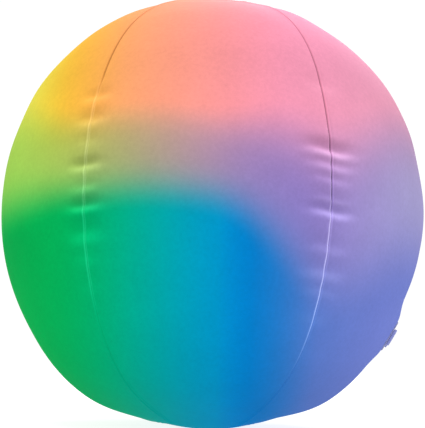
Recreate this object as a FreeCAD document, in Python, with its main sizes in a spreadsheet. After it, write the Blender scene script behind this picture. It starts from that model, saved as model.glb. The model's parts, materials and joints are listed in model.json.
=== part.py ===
"""Fabric-covered inflatable beach ball, in millimetres.

Six printed cloth panels and two round end caps are sewn into a cover. Inside it, six film gores and two
discs are welded into a bladder, with a soft push-in valve low on one side. The polar axis is vertical and
the origin is the centre of the flat that the ball rests on. Every piece of the ball follows one meridian:
a shallow arc at the equator, a tighter one at each shoulder and a shallow one at each pole, all tangent.
"""
import FreeCAD, Part
import math
import os

import Sketcher

DIMENSIONS = {
    "equator_radius": 194.0,
    "equator_arc_radius": 234.0,
    "shoulder_radius": 165.0,
    "shoulder_start": 24.0,
    "polar_arc_radius": 222.5,
    "panel_angle": 60.0,
    "cap_radius": 42.0,
    "cap_flat_radius": 25.0,
    "cap_turn_radius": 34.0,
    "cloth_thickness": 0.6,
    "seam_allowance": 8.0,
    "joint_gap": 0.05,
    "thread_width": 0.4,
    "thread_gap": 0.05,
    "film_depth": 2.6,
    "film_thickness": 0.4,
    "weld_width": 4.0,
    "weld_thickness": 0.3,
    "disc_radius": 25.0,
    "disc_flat_radius": 8.0,
    "disc_turn_radius": 20.0,
    "valve_azimuth": -9.0,
    "valve_fall": 30.0,
    "cover_hole_radius": 14.0,
    "binding_width": 1.0,
    "binding_top": -0.2,
    "binding_bottom": -1.5,
    "binding_fillet": 0.35,
    "bladder_hole_radius": 9.0,
    "hole_depth": 6.0,
    "flange_radius": 22.0,
    "flange_arc_radius": 175.5,
    "flange_depth": 1.5,
    "flange_thickness": 0.8,
    "neck_bore_radius": 6.6,
    "neck_wall": 0.6,
    "neck_end": 13.0,
    "stem_radius": 6.2,
    "stem_bore_radius": 4.5,
    "stem_rim_height": 0.5,
    "stem_depth": 14.5,
    "collar_radius": 7.4,
    "collar_underside": 0.7,
    "collar_fillet": 0.3,
    "lug_width": 5.0,
    "hinge_reach": 10.5,
    "head_radius": 8.0,
    "head_gap": 0.1,
    "head_thickness": 2.4,
    "head_fillet": 0.8,
    "dimple_radius": 4.5,
    "dimple_depth": 0.6,
    "strap_thickness": 1.2,
    "peg_root_radius": 4.1,
    "peg_tip_radius": 3.3,
    "peg_length": 5.0,
    "flap_radius": 5.2,
    "flap_gap": 0.1,
    "flap_thickness": 0.4,
}

PANELS = 6
SAME_PLACE = 1e-6  # two lengths nearer than this are one
LEAST_CUT = 1.0  # a hole that takes away less than this, in cubic millimetres, has missed

# Sketcher's numbers for a sketch's origin and for the points of a line or an arc
ORIGIN = (-1, 1)
CENTRE = 3
START = 1
END = 2

doc = FreeCAD.newDocument("BeachBall")
sheet = doc.addObject("Spreadsheet::Sheet", "Dimensions")
for row, (name, number) in enumerate(DIMENSIONS.items(), start=1):
    sheet.set(f"A{row}", name)
    sheet.set(f"B{row}", str(number))
    sheet.setAlias(f"B{row}", name)
doc.recompute()


class Size:
    """A number together with the sheet expression that gives it."""

    def __init__(self, value, text):
        self.value = value
        self.text = text

    def __add__(self, other):
        return Size(self.value + other.value, f"({self.text} + {other.text})")

    def __sub__(self, other):
        return Size(self.value - other.value, f"({self.text} - {other.text})")

    def __neg__(self):
        return Size(-self.value, f"(0 - {self.text})")

    def times(self, number):
        return Size(self.value * number, f"({self.text} * {number})")

    def cos_of(self, angle):
        turned = self.value * math.cos(math.radians(angle.value))
        return Size(turned, f"({self.text} * cos({angle.text}))")

    def sin_of(self, angle):
        turned = self.value * math.sin(math.radians(angle.value))
        return Size(turned, f"({self.text} * sin({angle.text}))")


def size(name):
    return Size(float(sheet.get(name)), f"Dimensions.{name}")


ZERO = Size(0.0, "0")


# ---- the meridian that every layer of the ball follows ----

def shoulder_centre():
    """Radius and height of the upper shoulder arc's centre, from the middle of the ball."""
    reach = size("equator_arc_radius") - size("shoulder_radius")
    out = size("equator_radius") - size("equator_arc_radius") + reach.cos_of(size("shoulder_start"))
    return out, reach.sin_of(size("shoulder_start"))


def polar_centre_height():
    """Height of the upper polar arc's centre, which tangency with the shoulder arc sets."""
    out, up = shoulder_centre()
    reach = size("polar_arc_radius").value - size("shoulder_radius").value
    return up.value - math.sqrt(reach**2 - out.value**2)


def polar_height(depth, radius):
    """Height of the polar arc at a radius from the axis, for a layer that lies at a depth."""
    arc = size("polar_arc_radius").value - depth
    return polar_centre_height() + math.sqrt(arc**2 - radius**2)


MIDDLE = polar_height(0.0, size("cap_flat_radius").value)


# ---- sketch helpers ----

def origin_plane(body, role):
    for feature in body.Origin.OriginFeatures:
        if feature.Role == role:
            return feature
    raise ValueError(f"{body.Label} has no {role}")


def add_body(label):
    body = doc.addObject("PartDesign::Body", label)
    body.Label = label
    return body


def add_sketch(body, name, role="XZ_Plane", offset=None):
    sketch = body.newObject("Sketcher::SketchObject", name)
    sketch.AttachmentSupport = [(origin_plane(body, role), "")]
    sketch.MapMode = "FlatFace"
    if offset:
        sketch.AttachmentOffset = offset
    return sketch


def bind(sketch, kind, places, length):
    """Adds one dimension to a sketch and ties it to the sheet."""
    index = sketch.addConstraint(Sketcher.Constraint(kind, *places, length.value))
    sketch.setExpression(f"Constraints[{index}]", length.text)


def pin(sketch, place, across=None, up=None):
    """Ties a point's distance across and up from the sketch's origin to the sheet."""
    for kind, axis, length in (("DistanceX", -2, across), ("DistanceY", -1, up)):
        if length is None:
            continue
        if length is ZERO:
            sketch.addConstraint(Sketcher.Constraint("PointOnObject", *place, axis))
        elif length.value < 0:
            bind(sketch, kind, (*place, *ORIGIN), -length)
        else:
            bind(sketch, kind, (*ORIGIN, *place), length)


def vector(across, up):
    return FreeCAD.Vector(across.value, up.value, 0)


def draw_outline(sketch, corners):
    """Draws a closed outline of straight lines with every corner tied to the sheet."""
    count = len(corners)
    for i, corner in enumerate(corners):
        sketch.addGeometry(Part.LineSegment(vector(*corner), vector(*corners[(i + 1) % count])), False)
    for i, corner in enumerate(corners):
        sketch.addConstraint(Sketcher.Constraint("Coincident", i, END, (i + 1) % count, START))
        pin(sketch, (i, START), *corner)


def draw_arc(sketch, centre, radius, low, high):
    """Adds an arc about a centre, anticlockwise between two directions in radians."""
    middle = FreeCAD.Vector(centre[0], centre[1], 0)
    circle = Part.Circle(middle, FreeCAD.Vector(0, 0, 1), radius)
    return sketch.addGeometry(Part.ArcOfCircle(circle, low, high), False)


def draw_meridian_chain(sketch, depth, end_radius):
    """Draws the five tangent arcs of the meridian at a depth, top to bottom, and gives their numbers."""
    out, up = shoulder_centre()
    pole = polar_centre_height()
    start = math.radians(size("shoulder_start").value)
    finish = math.atan2(up.value - pole, out.value)
    equator = size("equator_arc_radius") - depth
    shoulder = size("shoulder_radius") - depth
    polar = size("polar_arc_radius") - depth
    stop = math.acos(end_radius.value / polar.value)
    axis_x = size("equator_radius") - size("equator_arc_radius")
    chain = (
        draw_arc(sketch, (0, pole), polar.value, finish, stop),
        draw_arc(sketch, (out.value, up.value), shoulder.value, start, finish),
        draw_arc(sketch, (axis_x.value, 0), equator.value, -start, start),
        draw_arc(sketch, (out.value, -up.value), shoulder.value, -finish, -start),
        draw_arc(sketch, (0, -pole), polar.value, -stop, -finish),
    )
    for above, below in zip(chain, chain[1:]):
        sketch.addConstraint(Sketcher.Constraint("Tangent", above, START, below, END))
    pin(sketch, (chain[2], CENTRE), axis_x, ZERO)
    bind(sketch, "Radius", (chain[2],), equator)
    for arc, height in ((chain[1], up), (chain[3], -up)):
        pin(sketch, (arc, CENTRE), out, height)
    for arc in (chain[0], chain[4]):
        pin(sketch, (arc, CENTRE), ZERO)
        bind(sketch, "Radius", (arc,), polar)
    return chain


def draw_meridian_strip(sketch, depth, thickness, end_radius):
    """Draws the closed section of one layer of the ball, cut upright at a radius near each pole."""
    outer = draw_meridian_chain(sketch, depth, end_radius)
    inner = draw_meridian_chain(sketch, depth + thickness, end_radius)
    for arc_out, arc_in, end in ((outer[0], inner[0], END), (outer[4], inner[4], START)):
        points = [sketch.getPoint(arc, end) for arc in (arc_out, arc_in)]
        line = sketch.addGeometry(Part.LineSegment(*points), False)
        sketch.addConstraint(Sketcher.Constraint("Coincident", line, START, arc_out, end))
        sketch.addConstraint(Sketcher.Constraint("Coincident", line, END, arc_in, end))
        sketch.addConstraint(Sketcher.Constraint("Vertical", line))
        pin(sketch, (line, START), end_radius)


def revolve(body, sketch, angle=None):
    """Turns a sketch about its own upright axis, fully or by an angle centred on the sketch."""
    feature = body.newObject("PartDesign::Revolution", "Turned")
    feature.Profile = (sketch, [""])
    feature.ReferenceAxis = (sketch, ["V_Axis"])
    feature.Angle = 360.0
    if angle:
        feature.Midplane = True
        feature.setExpression("Angle", angle.text)
    return feature


def pad(body, sketch, length, both_ways=False, reverse=False):
    feature = body.newObject("PartDesign::Pad", "Raised")
    feature.Profile = (sketch, [""])
    feature.setExpression("Length", length.text)
    feature.Midplane = both_ways
    feature.Reversed = reverse
    return feature


def fillet_edges(body, base, radius, keep):
    """Rounds the edges of the tip that a test picks out."""
    doc.recompute()
    names = [f"Edge{i}" for i, edge in enumerate(base.Shape.Edges, start=1) if keep(edge)]
    feature = body.newObject("PartDesign::Fillet", "Rounded")
    feature.Base = (base, names)
    feature.setExpression("Radius", radius.text)
    return feature


def circles_at(radius, height):
    """A test for the full round edges of one radius at one height above the body's origin."""

    def keep(edge):
        curve = edge.Curve
        if not isinstance(curve, Part.Circle):
            return False
        radius_off = abs(curve.Radius - radius.value)
        height_off = abs(curve.Center.z - height.value)
        return radius_off < SAME_PLACE and height_off < SAME_PLACE

    return keep


# ---- places ----

def ball_place(azimuth=0.0):
    """A piece that is drawn about the middle of the ball, turned to an azimuth from +X."""
    turn = FreeCAD.Rotation(FreeCAD.Vector(0, 0, 1), azimuth)
    return FreeCAD.Placement(FreeCAD.Vector(0, 0, MIDDLE), turn)


def valve_frame():
    """The valve's place about the middle of the ball: Z along the outward normal, Y up the surface."""
    out, up = shoulder_centre()
    azimuth = size("valve_azimuth").value
    fall = size("valve_fall").value
    about_z = FreeCAD.Rotation(FreeCAD.Vector(0, 0, 1), azimuth)
    tip_over = FreeCAD.Rotation(FreeCAD.Vector(0, 1, 0), 90.0 + fall)
    quarter = FreeCAD.Rotation(FreeCAD.Vector(0, 0, 1), 90.0)
    turn = about_z.multiply(tip_over).multiply(quarter)
    normal = turn.multVec(FreeCAD.Vector(0, 0, 1))
    centre = about_z.multVec(FreeCAD.Vector(out.value, 0, -up.value))
    return FreeCAD.Placement(centre + normal * size("shoulder_radius").value, turn)


def valve_place():
    return ball_place().multiply(valve_frame())


# ---- the cover and the bladder ----

def cut_valve_hole(body, azimuth, radius):
    """Cuts the round hole for the valve through a piece that stands at an azimuth."""
    before = body.Shape.Volume
    undo = FreeCAD.Placement(FreeCAD.Vector(), FreeCAD.Rotation(FreeCAD.Vector(0, 0, 1), -azimuth))
    sketch = add_sketch(body, "HoleCircle", "XY_Plane", undo.multiply(valve_frame()))
    circle = Part.Circle(FreeCAD.Vector(), FreeCAD.Vector(0, 0, 1), radius.value)
    sketch.addGeometry(circle, False)
    sketch.addConstraint(Sketcher.Constraint("Coincident", 0, CENTRE, *ORIGIN))
    bind(sketch, "Radius", (0,), radius)
    pocket = body.newObject("PartDesign::Pocket", "ValveHole")
    pocket.Profile = (sketch, [""])
    pocket.Midplane = True
    pocket.setExpression("Length", size("hole_depth").times(2).text)
    doc.recompute()
    if body.Shape.Volume > before - LEAST_CUT:
        raise ValueError(f"{body.Label}: the valve hole cuts nothing")


def add_gore(label, azimuth, layer):
    """One gore of a layer: a sheet over the panel angle with a turned-in strip along each long side."""
    depth, thickness, end_radius, strip_width, strip_thickness = layer
    body = add_body(label)
    section = add_sketch(body, "Section")
    draw_meridian_strip(section, depth, thickness, end_radius)
    revolve(body, section, size("panel_angle"))
    edge_turn = FreeCAD.Rotation(FreeCAD.Vector(0, 1, 0), -size("panel_angle").value / 2)
    edge_plane = FreeCAD.Placement(FreeCAD.Vector(), edge_turn)
    edge = add_sketch(body, "EdgeSection", "XZ_Plane", edge_plane)
    edge.setExpression("AttachmentOffset.Rotation.Angle", "0 - Dimensions.panel_angle / 2")
    half = thickness.times(0.5)
    draw_meridian_strip(edge, depth + half, half + strip_thickness, end_radius)
    strip = pad(body, edge, strip_width, reverse=True)
    both = body.newObject("PartDesign::Mirrored", "BothEdges")
    both.Originals = [strip]
    both.MirrorPlane = (origin_plane(body, "XZ_Plane"), [""])
    body.Tip = both
    body.Placement = ball_place(azimuth)
    doc.recompute()
    return body


def add_cap(label, depth, layer, top):
    """One round end of a layer, drawn about its polar arc's centre with the outside facing down."""
    thickness, radius, flat_radius, turn_radius, turn_thickness = layer
    outer = size("polar_arc_radius") - depth
    inner = outer - thickness
    turned = inner - turn_thickness
    body = add_body(label)
    sketch = add_sketch(body, "Section")
    flat = -math.sqrt(outer.value**2 - flat_radius.value**2)
    sheet_top = flat + thickness.value

    def below(arc, across):
        return FreeCAD.Vector(across, -math.sqrt(arc.value**2 - across**2), 0)

    inside_flat = math.sqrt(inner.value**2 - sheet_top**2)
    corners = [
        FreeCAD.Vector(0, flat, 0),
        FreeCAD.Vector(flat_radius.value, flat, 0),
        below(outer, radius.value),
        below(turned, radius.value),
        below(turned, turn_radius.value),
        below(inner, turn_radius.value),
        FreeCAD.Vector(inside_flat, sheet_top, 0),
        FreeCAD.Vector(0, sheet_top, 0),
    ]
    arcs = {1: outer, 3: turned, 5: inner}
    for i, corner in enumerate(corners):
        after = corners[(i + 1) % len(corners)]
        if i not in arcs:
            sketch.addGeometry(Part.LineSegment(corner, after), False)
            continue
        ends = sorted(math.atan2(point.y, point.x) for point in (corner, after))
        arc = draw_arc(sketch, (0, 0), arcs[i].value, *ends)
        sketch.addConstraint(Sketcher.Constraint("Coincident", arc, CENTRE, *ORIGIN))
        bind(sketch, "Radius", (arc,), arcs[i])
    # the outer arc runs outwards from its start, and the other two run back towards the axis
    links = (
        (0, END, 1, START),
        (1, END, 2, START),
        (2, END, 3, END),
        (3, START, 4, START),
        (4, END, 5, END),
        (5, START, 6, START),
        (6, END, 7, START),
        (7, END, 0, START),
    )
    for link in links:
        sketch.addConstraint(Sketcher.Constraint("Coincident", *link))
    for upright in (2, 4, 7):
        sketch.addConstraint(Sketcher.Constraint("Vertical", upright))
    for level in (0, 6):
        sketch.addConstraint(Sketcher.Constraint("Horizontal", level))
    pin(sketch, (0, START), ZERO)
    pin(sketch, (0, END), flat_radius)
    pin(sketch, (2, START), radius)
    pin(sketch, (4, START), turn_radius)
    bind(sketch, "DistanceY", (7, END, 7, START), thickness)
    revolve(body, sketch)
    pole = polar_centre_height()
    if top:
        upside_down = FreeCAD.Rotation(FreeCAD.Vector(1, 0, 0), 180)
        body.Placement = FreeCAD.Placement(FreeCAD.Vector(0, 0, MIDDLE + pole), upside_down)
    else:
        body.Placement = FreeCAD.Placement(FreeCAD.Vector(0, 0, MIDDLE - pole), FreeCAD.Rotation())


def add_seam_thread(label, azimuth):
    """The line of stitching that joins two panels, one strand along the inside of the seam."""
    body = add_body(label)
    depth = size("cloth_thickness").times(2) + size("thread_gap")
    sketch = add_sketch(body, "Strand")
    draw_meridian_strip(sketch, depth, size("thread_width"), size("cap_radius"))
    pad(body, sketch, size("thread_width"), both_ways=True)
    body.Placement = ball_place(azimuth)


def add_cap_thread(label, top):
    """The ring of stitching round an end cap, on the inside of the cover."""
    radius = size("cap_radius").value - 2 * size("thread_width").value
    thread = size("thread_width").value / 2
    depth = 2 * size("cloth_thickness").value + size("thread_gap").value + thread
    ring = doc.addObject("Part::Torus", label)
    ring.Label = label
    ring.setExpression("Radius1", "Dimensions.cap_radius - 2 * Dimensions.thread_width")
    ring.setExpression("Radius2", "Dimensions.thread_width / 2")
    height = polar_height(depth, radius)
    ring.Placement.Base = FreeCAD.Vector(0, 0, MIDDLE + (height if top else -height))


# ---- the valve ----

def add_opening_binding():
    """The bound edge round the hole that the valve shows through."""
    body = add_body("valve_opening_binding")
    outer = size("cover_hole_radius") - size("joint_gap")
    inner = size("cover_hole_radius") - size("binding_width")
    low = size("binding_bottom")
    high = size("binding_top")
    sketch = add_sketch(body, "Section")
    draw_outline(sketch, [(inner, low), (outer, low), (outer, high), (inner, high)])
    ring = revolve(body, sketch)
    fillet_edges(body, ring, size("binding_fillet"), lambda edge: isinstance(edge.Curve, Part.Circle))
    body.Placement = valve_place()


def add_valve_flange():
    """The disc that is welded to the bladder, with the soft neck that holds the stem."""
    body = add_body("valve_flange")
    bore = size("neck_bore_radius")
    rim = size("flange_radius")
    outer = size("flange_arc_radius")
    inner = outer - size("flange_thickness")
    neck = bore + size("neck_wall")
    sketch = add_sketch(body, "Section")
    centre = -(outer + size("flange_depth"))

    def above(arc, across):
        return FreeCAD.Vector(across.value, centre.value + math.sqrt(arc.value**2 - across.value**2), 0)

    end = -size("neck_end")
    corners = [
        above(outer, bore),
        above(outer, rim),
        above(inner, rim),
        above(inner, neck),
        vector(neck, end),
        vector(bore, end),
    ]
    arcs = {0: outer, 2: inner}
    for i, corner in enumerate(corners):
        after = corners[(i + 1) % len(corners)]
        if i not in arcs:
            sketch.addGeometry(Part.LineSegment(corner, after), False)
            continue
        ends = sorted(math.atan2(point.y - centre.value, point.x) for point in (corner, after))
        arc = draw_arc(sketch, (0, centre.value), arcs[i].value, *ends)
        pin(sketch, (arc, CENTRE), ZERO, centre)
        bind(sketch, "Radius", (arc,), arcs[i])
    # both arcs are drawn from the rim to the axis
    links = (
        (0, START, 1, START),
        (1, END, 2, START),
        (2, END, 3, START),
        (3, END, 4, START),
        (4, END, 5, START),
        (5, END, 0, END),
    )
    for link in links:
        sketch.addConstraint(Sketcher.Constraint("Coincident", *link))
    for upright in (1, 3, 5):
        sketch.addConstraint(Sketcher.Constraint("Vertical", upright))
    pin(sketch, (1, START), rim)
    pin(sketch, (4, START), neck, end)
    pin(sketch, (4, END), bore, end)
    revolve(body, sketch)
    body.Placement = valve_place()


def add_valve_stem():
    """The tube that is pulled out to blow and pushed in to close, with the lug of the plug's hinge."""
    body = add_body("valve_stem")
    bore = size("stem_bore_radius")
    wall = size("stem_radius")
    collar = size("collar_radius")
    rim = size("stem_rim_height")
    ledge = -size("collar_underside")
    end = -size("stem_depth")
    tube = add_sketch(body, "TubeSection")
    outline = [(bore, end), (wall, end), (wall, ledge), (collar, ledge), (collar, rim), (bore, rim)]
    draw_outline(tube, outline)
    revolve(body, tube)
    half = size("lug_width").times(0.5)
    root = -(bore + wall).times(0.5)
    reach = -size("hinge_reach")
    lug = add_sketch(body, "LugPlan", "XY_Plane")
    draw_outline(lug, [(-half, reach), (half, reach), (half, root), (-half, root)])
    raised = pad(body, lug, rim - ledge)
    lug.AttachmentOffset = FreeCAD.Placement(FreeCAD.Vector(0, 0, ledge.value), FreeCAD.Rotation())
    lug.setExpression("AttachmentOffset.Base.z", ledge.text)
    fillet_edges(body, raised, size("collar_fillet"), circles_at(collar, ledge))
    body.Placement = valve_place()


def add_valve_plug():
    """The stopper: a dished head on a tapered peg, with the strap that ends at the hinge."""
    body = add_body("valve_plug")
    head = size("head_radius")
    low = size("stem_rim_height") + size("head_gap")
    high = low + size("head_thickness")
    dish = size("dimple_radius")
    floor = high - size("dimple_depth")
    root = size("peg_root_radius")
    tip = size("peg_tip_radius")
    end = low - size("peg_length")
    section = add_sketch(body, "Section")
    corners = [
        (ZERO, end),
        (tip, end),
        (root, low),
        (head, low),
        (head, high),
        (dish, high),
        (dish, floor),
        (ZERO, floor),
    ]
    draw_outline(section, corners)
    turned = revolve(body, section)
    fillet_edges(body, turned, size("head_fillet"), circles_at(head, high))
    half = size("lug_width").times(0.5)
    strap = add_sketch(body, "StrapPlan", "XY_Plane")
    draw_outline(
        strap,
        [(-half, -size("hinge_reach")), (half, -size("hinge_reach")), (half, -dish), (-half, -dish)],
    )
    strap.AttachmentOffset = FreeCAD.Placement(FreeCAD.Vector(0, 0, low.value), FreeCAD.Rotation())
    strap.setExpression("AttachmentOffset.Base.z", low.text)
    pad(body, strap, size("strap_thickness"))
    body.Placement = valve_place()


def add_valve_flap():
    """The thin disc at the stem's inner end that air from inside holds shut."""
    flap = doc.addObject("Part::Cylinder", "valve_flap")
    flap.Label = "valve_flap"
    flap.setExpression("Radius", "Dimensions.flap_radius")
    flap.setExpression("Height", "Dimensions.flap_thickness")
    low = -(size("stem_depth") + size("flap_gap") + size("flap_thickness"))
    inward = FreeCAD.Placement(FreeCAD.Vector(0, 0, low.value), FreeCAD.Rotation())
    flap.Placement = valve_place().multiply(inward)


# ---- the assembly ----

cloth = size("cloth_thickness")
film = size("film_thickness")
weld = size("weld_thickness")
COVER = (ZERO, cloth, size("cap_radius"), size("seam_allowance"), cloth)
BLADDER = (size("film_depth"), film, size("disc_radius"), size("weld_width"), weld)
COVER_CAP = (
    cloth,
    size("cap_radius") - size("joint_gap"),
    size("cap_flat_radius"),
    size("cap_turn_radius"),
    cloth,
)
BLADDER_CAP = (
    film,
    size("disc_radius") - size("joint_gap"),
    size("disc_flat_radius"),
    size("disc_turn_radius"),
    weld,
)

step = size("panel_angle").value
valve_at = size("valve_azimuth").value
# panel 1 faces -Y and the others follow anticlockwise, so panel 2 carries the valve
for number in range(1, PANELS + 1):
    facing = -90.0 + step * (number - 1)
    panel = add_gore(f"cover_panel_{number}", facing, COVER)
    if abs(facing - valve_at) < step / 2:
        cut_valve_hole(panel, facing, size("cover_hole_radius"))
    add_seam_thread(f"panel_seam_thread_{number}", facing + step / 2)
# the valve is in the middle of the first film gore
for number in range(1, PANELS + 1):
    facing = valve_at + step * (number - 1)
    gore = add_gore(f"bladder_gore_{number}", facing, BLADDER)
    if number == 1:
        cut_valve_hole(gore, facing, size("bladder_hole_radius"))
for end_name, is_top in (("top", True), ("bottom", False)):
    add_cap(f"cover_cap_{end_name}", ZERO, COVER_CAP, is_top)
    add_cap(f"bladder_disc_{end_name}", size("film_depth"), BLADDER_CAP, is_top)
    add_cap_thread(f"cap_seam_thread_{end_name}", is_top)
add_opening_binding()
add_valve_flange()
add_valve_stem()
add_valve_plug()
add_valve_flap()
doc.recompute()

# ---- checks and output ----

for item in doc.Objects:
    if "Invalid" in item.State or "Error" in item.State:
        raise ValueError(f"{item.Label} did not compute")

os.makedirs("parts", exist_ok=True)
pieces = [item for item in doc.RootObjects if hasattr(item, "Shape")]
for piece in pieces:
    shape = piece.Shape
    if shape.isNull() or not shape.isValid() or len(shape.Solids) != 1:
        raise ValueError(f"{piece.Label} is not one valid solid")
    piece.Shape.exportStep(f"parts/{piece.Label}.step")
    print(f"{piece.Label:26s} {shape.Volume:10.2f} mm3")

whole = FreeCAD.BoundBox()
for piece in pieces:
    whole.add(piece.Shape.BoundBox)
seat = valve_place()
outward = seat.Rotation.multVec(FreeCAD.Vector(0, 0, 1))
print(f"{len(pieces)} pieces, lowest point {whole.ZMin:.3f} mm")
print(f"{whole.XLength:.1f} x {whole.YLength:.1f} x {whole.ZLength:.1f} mm")
print("valve at", [round(v, 3) for v in seat.Base])
print("valve facing", [round(v, 5) for v in outward])
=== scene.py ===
"""Looks of the cloth-covered inflatable beach ball, in metres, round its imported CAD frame.

Six printed cloth panels and two round caps are sewn into a cover over a film bladder. The profile is the
CAD's: a shallow arc at the equator, a tighter one at each shoulder and a shallow one at each pole, all
tangent. A place on the ball is a longitude (0 faces -Y, 90 faces +X) and a length along the profile, which
is 0 at the equator and positive above it. Its tilt is the angle by which the outward normal leans up, and
its latitude is the angle at which the middle of the ball sees it.
"""
import json
import math
from collections import namedtuple

import bmesh
import bpy
import numpy as np
from mathutils import Matrix, Vector


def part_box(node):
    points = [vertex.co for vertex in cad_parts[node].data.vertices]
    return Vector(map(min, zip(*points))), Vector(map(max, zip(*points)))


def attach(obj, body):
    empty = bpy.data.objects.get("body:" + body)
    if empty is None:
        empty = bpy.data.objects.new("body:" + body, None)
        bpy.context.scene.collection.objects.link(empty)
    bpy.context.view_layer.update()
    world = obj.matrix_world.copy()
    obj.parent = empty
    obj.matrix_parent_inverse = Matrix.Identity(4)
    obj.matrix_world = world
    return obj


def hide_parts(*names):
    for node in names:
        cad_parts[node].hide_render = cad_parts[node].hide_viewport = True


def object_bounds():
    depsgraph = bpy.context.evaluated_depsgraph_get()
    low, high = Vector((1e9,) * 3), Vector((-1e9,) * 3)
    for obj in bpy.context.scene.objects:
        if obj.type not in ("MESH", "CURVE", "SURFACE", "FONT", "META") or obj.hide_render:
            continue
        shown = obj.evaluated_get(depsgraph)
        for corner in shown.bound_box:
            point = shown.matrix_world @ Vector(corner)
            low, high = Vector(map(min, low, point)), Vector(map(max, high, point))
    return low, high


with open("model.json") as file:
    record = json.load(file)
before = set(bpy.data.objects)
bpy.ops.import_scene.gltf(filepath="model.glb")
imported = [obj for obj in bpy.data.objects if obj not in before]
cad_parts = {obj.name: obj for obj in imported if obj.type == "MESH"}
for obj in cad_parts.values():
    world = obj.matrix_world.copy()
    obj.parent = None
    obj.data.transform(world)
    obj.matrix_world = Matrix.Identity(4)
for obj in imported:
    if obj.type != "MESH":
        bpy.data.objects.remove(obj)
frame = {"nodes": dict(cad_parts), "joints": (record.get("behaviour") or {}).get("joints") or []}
CAD_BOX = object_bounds()

MM = 0.001

# ---- the ball's sizes ----

RADIUS = -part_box("cover_panel_1")[0].y
MIDDLE = (CAD_BOX[0].z + CAD_BOX[1].z) / 2
CAP_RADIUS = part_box("cover_cap_top")[1].x
DISC_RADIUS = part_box("bladder_disc_top")[1].x
EQUATOR_ARC = 234 * MM
SHOULDER_ARC = 165 * MM
POLAR_ARC = 222.5 * MM
SHOULDER_START = math.radians(24)

SEAMS = (-150, -90, -30, 30, 90, 150)
SEAM_STEP = 60
SEAM_ALLOWANCE = 8 * MM
CAP_ALLOWANCE = 8 * MM
WELD_LAP = 4 * MM
CLOTH_DEPTH = 1.5 * MM  # how far the turned-in edges of the cloth lie below the outside
LAP_DEPTH = 0.5 * MM  # the same for the welded laps of the film
FILM_DEPTH = 5.8 * MM

VALVE_HOLE = 14 * MM
BLADDER_HOLE = 9 * MM
VALVE_FLANGE_DEPTH = 2.6 * MM
VALVE_CALM = (16 * MM, 38 * MM)  # the relief grows from nothing to full between these distances

# ---- how the sewn cover differs from the even ball ----

# how nearly six-sided the cover is close to its top and bottom caps
HEXAGON_TOP = 0.7
HEXAGON_BOTTOM = 0.3
# depth of the broad valley along each seam, in millimetres
VALLEYS = {-150: 1.5, -90: 3.0, -30: 1.2, 30: 1.2, 90: 3.0, 150: 1.5}
VALLEY_WIDTH = 18 * MM
# longitude, latitude, width in degrees, height in millimetres
SWELLS = (
    (-66, 42, 18, -3.0),
    (66, 46, 15, -2.4),
    (47, 61, 8, 2.6),
    (24, 68, 8, -1.5),
    (-47, 60, 7, 1.2),
    (79, 2, 11, 2.0),
    (76, 20, 6, 1.0),
    (-74, 22, 8, -1.6),
    (-80, -36, 10, -2.0),
    (82, -33, 12, -3.8),
    (-78, -60, 9, 3.0),
    (80, -59, 8, 3.0),
    (66, -76, 8, -2.8),
    (-60, -79, 8, -2.8),
)
RIPPLE_HEIGHT = 0.6 * MM
RIPPLE_PITCH = 110 * MM
RIPPLE_WAVES = 14
RIPPLE_SEED = 3
CAP_EDGE_RISE = 1.3 * MM  # how proud of the profile the sewn-on cap is at its edge
# latitudes between which the valleys and the ripple fade out, and the rise at the cap comes and goes
VALLEY_FADE = (60, 78)
RIPPLE_FADE = (70, 84)
CAP_RISE_START = (66, 79)
CAP_RISE_END = (82, 90)
# the same for the six-sided shape, which is weaker again on the cap
HEXAGON_START = (48, 70)
HEXAGON_END = (70, 78)
HEXAGON_LOSS = 0.7

# puckers listed one by one across three of the seams: latitude in degrees, and in millimetres their depth,
# their width along the seam and their reach to each side
FOLDS = {
    30: (
        (26.5, 0.6, 5.0, 14),
        (9.5, 3.2, 3.6, 21),
        (6.0, 1.5, 3.2, 20),
        (2.5, 0.7, 2.5, 16),
        (-2.0, 1.0, 3.0, 17),
        (-5.0, 2.8, 3.3, 18),
        (-13.0, 0.9, 4.0, 16),
        (-18.5, 1.4, 5.0, 18),
        (-23.0, 0.7, 4.0, 16),
        (-29.0, 0.5, 5.0, 15),
    ),
    -30: (
        (22.0, 1.5, 3.4, 13),
        (16.0, 2.0, 4.2, 14),
        (10.5, 0.7, 3.5, 11),
        (4.5, 2.6, 3.0, 14),
        (-0.5, 0.9, 2.8, 11),
        (-5.0, 2.8, 3.2, 15),
        (-11.0, 1.7, 6.0, 16),
        (-16.5, 0.6, 5.0, 13),
        (-23.0, 0.4, 5.0, 12),
    ),
    90: (
        (-10.0, 1.8, 5.0, 24),
        (-21.5, 2.0, 5.0, 24),
        (5.0, 1.5, 4.0, 20),
        (14.0, 1.3, 4.0, 18),
    ),
}
# painted highlight: how much paler the cloth is painted below a pucker, where its slope turns up to the
# light, for each millimetre of depth
FOLD_HIGHLIGHT = {30: 0.17, -30: 0.08}
COMMON_FOLD_HIGHLIGHT = 0.10
# how much lower a pucker is to the right of its seam than to the left
FOLD_SLANT = {30: 2.5 * MM, -30: -1.5 * MM}
SLANT_REACH = 12 * MM
# how many widths long a pucker's slopes are, above its valley and below it
SLOPE_ABOVE = 1.5
SLOPE_BELOW = 1.15
RIDGE_SHARE = 0.35  # how much of a ridge it throws up on each side
FOLD_END = 2.5  # how suddenly it ends at its reach
# the painted highlight band below a pucker: its place and its width, in widths of the pucker
HIGHLIGHT_BAND_PLACE = 1.1
HIGHLIGHT_BAND_WIDTH = 0.9
# random puckers for the other three seams
FOLD_SEEDS = {-150: 11, -90: 12, 150: 13}
FOLDS_PER_SEAM = 9
HIGHEST_FOLD = 27
FOLD_SPREAD = 2.2
DEPTH_RANGE = (0.6, 2.8)
WIDTH_RANGE = (3, 5)
REACH_RANGE = (15, 21)

# how far a pucker draws its seam to the right, in millimetres for each millimetre of its depth
SEAM_PULL = {30: 0.6, -30: -0.8}
COMMON_PULL = 0.5
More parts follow.
